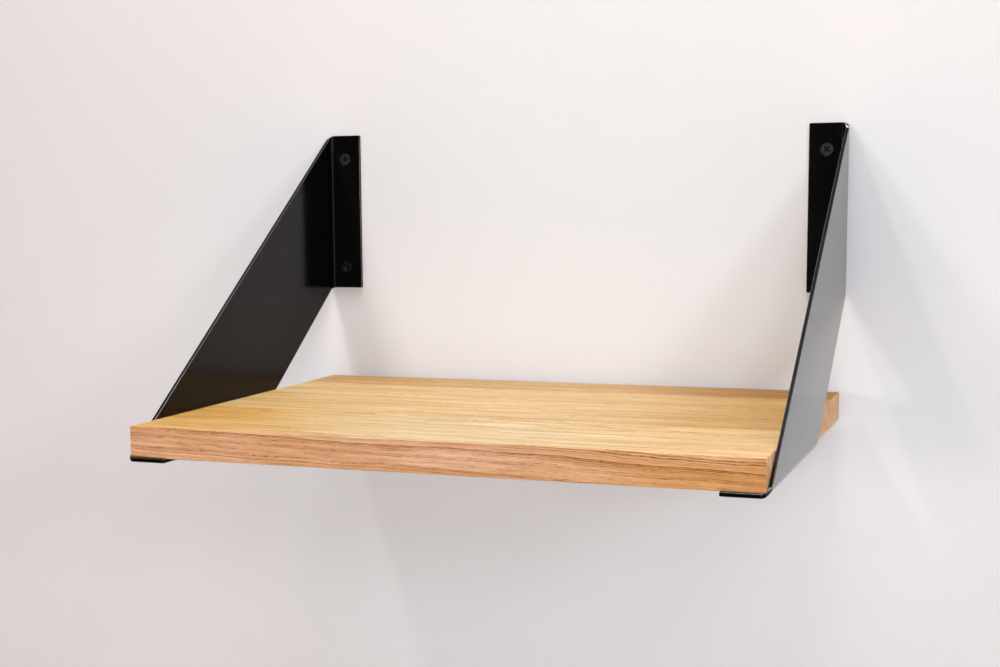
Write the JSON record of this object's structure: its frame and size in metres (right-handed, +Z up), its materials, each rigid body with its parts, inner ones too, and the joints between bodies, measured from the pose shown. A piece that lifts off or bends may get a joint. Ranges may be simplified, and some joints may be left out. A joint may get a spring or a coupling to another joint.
{
  "type": "bracket wall shelf",
  "caption": "Wooden wall shelf resting on the ledges of folded sheet-steel side brackets that are screwed flat to the wall above the board.",
  "frame": {"origin": "middle of the four wall fixings, on the wall plane", "axes": "+X along the board to the right as seen from the room, +Y into the wall, +Z up"},
  "size_m": [0.4054, 0.3557, 0.213],
  "materials": {
    "black_powder_coat": "satin black powder coat",
    "oak_front": "oiled oak, long grain along X",
    "oak_middle": "oiled oak, long grain along X",
    "oak_back": "oiled oak, darker stave",
    "black_zinc": "black zinc, slightly greyer than the coat",
    "grey_nylon": "matt grey nylon"
  },
  "bodies": {
    "root": {"left_bracket": "black_powder_coat", "right_bracket": "black_powder_coat", "front_stave": "oak_front", "middle_stave": "oak_middle", "back_stave": "oak_back", "wall_screw_left_upper": "black_zinc", "wall_screw_left_lower": "black_zinc", "wall_screw_right_upper": "black_zinc", "wall_screw_right_lower": "black_zinc", "wall_plug_left_upper": "grey_nylon", "wall_plug_left_lower": "grey_nylon", "wall_plug_right_upper": "grey_nylon", "wall_plug_right_lower": "grey_nylon", "board_screw_left_front": "black_zinc", "board_screw_left_rear": "black_zinc", "board_screw_right_front": "black_zinc", "board_screw_right_rear": "black_zinc"}
  },
  "joints": []
}
